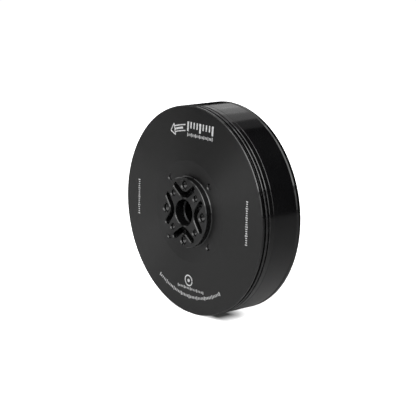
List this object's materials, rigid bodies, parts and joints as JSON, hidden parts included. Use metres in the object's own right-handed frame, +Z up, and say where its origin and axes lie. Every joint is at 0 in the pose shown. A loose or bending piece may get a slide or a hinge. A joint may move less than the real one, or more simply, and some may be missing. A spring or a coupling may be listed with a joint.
{
  "type": "brushless outrunner motor",
  "caption": "Flat brushless outrunner motor: a wide, shallow black rotor with a pierced, drilled propeller hub, turning round a wound stator on a spoked base.",
  "frame": {"origin": "centre of the mounting face, on the motor's axis", "axes": "+Y along the axis from the propeller hub to the mounting face and out of it; +Z up as the motor stands on its rim; +X across"},
  "size_m": [0.0868, 0.0265, 0.0868],
  "materials": {
    "anodised_black": "satin anodised, finely turned",
    "flux_ring_black": "glossy black coating",
    "magnet_nickel": "nickel plated",
    "shaft_steel": "ground",
    "screw_steel": "black oxide",
    "shim_steel": "rolled",
    "spring_steel": "phosphated",
    "bearing_steel": "ground and polished",
    "cage_brass": "pressed",
    "core_steel": "stacked laminations",
    "insulator_coat": "coated",
    "copper_enamel": "enamelled copper wire",
    "jumper_sleeving": "woven sleeving",
    "sleeve_black": "shrunk sleeve",
    "grommet_rubber": "moulded",
    "index_white": "printed marks on the bell",
    "lacing_cord": "waxed lacing cord"
  },
  "bodies": {
    "stator": {"front_outer_race": "bearing_steel", "rear_outer_race": "bearing_steel", "front_shields": "shim_steel", "rear_shields": "shim_steel", "wave_spring": "spring_steel", "stator_base": "anodised_black", "stator_core": "core_steel", "front_insulator": "insulator_coat", "rear_insulator": "insulator_coat", "coils_phase_a": "copper_enamel", "coils_phase_b": "copper_enamel", "coils_phase_c": "copper_enamel", "phase_jumpers": "jumper_sleeving", "star_sleeve": "sleeve_black", "wire_grommet": "grommet_rubber"},
    "rotor": {"front_bell": "anodised_black", "flux_ring": "flux_ring_black", "rear_ring": "anodised_black", "magnets_north": "magnet_nickel", "magnets_south": "magnet_nickel", "shaft": "shaft_steel", "spider_screws": "screw_steel", "front_shim": "shim_steel", "rear_shim": "shim_steel", "retaining_ring": "spring_steel", "front_inner_race": "bearing_steel", "rear_inner_race": "bearing_steel"},
    "front_ball_set": {"front_cage": "cage_brass", "front_balls": "bearing_steel"},
    "rear_ball_set": {"rear_cage": "cage_brass", "rear_balls": "bearing_steel"}
  },
  "joints": [
    {"name": "rotor_spin", "type": "hinge", "parent": "stator", "child": "rotor", "pos_m": [0, 0, 0], "axis": [0, -1, 0], "continuous": true},
    {"name": "front_cage_spin", "type": "hinge", "parent": "stator", "child": "front_ball_set", "pos_m": [0, -0.0167, 0], "axis": [0, -1, 0], "continuous": true},
    {"name": "rear_cage_spin", "type": "hinge", "parent": "stator", "child": "rear_ball_set", "pos_m": [0, -0.005, 0], "axis": [0, -1, 0], "continuous": true}
  ],
  "couplings": [
    {"joint": "front_cage_spin", "follows": "rotor_spin", "ratio": 0.45558},
    {"joint": "rear_cage_spin", "follows": "rotor_spin", "ratio": 0.45558}
  ]
}
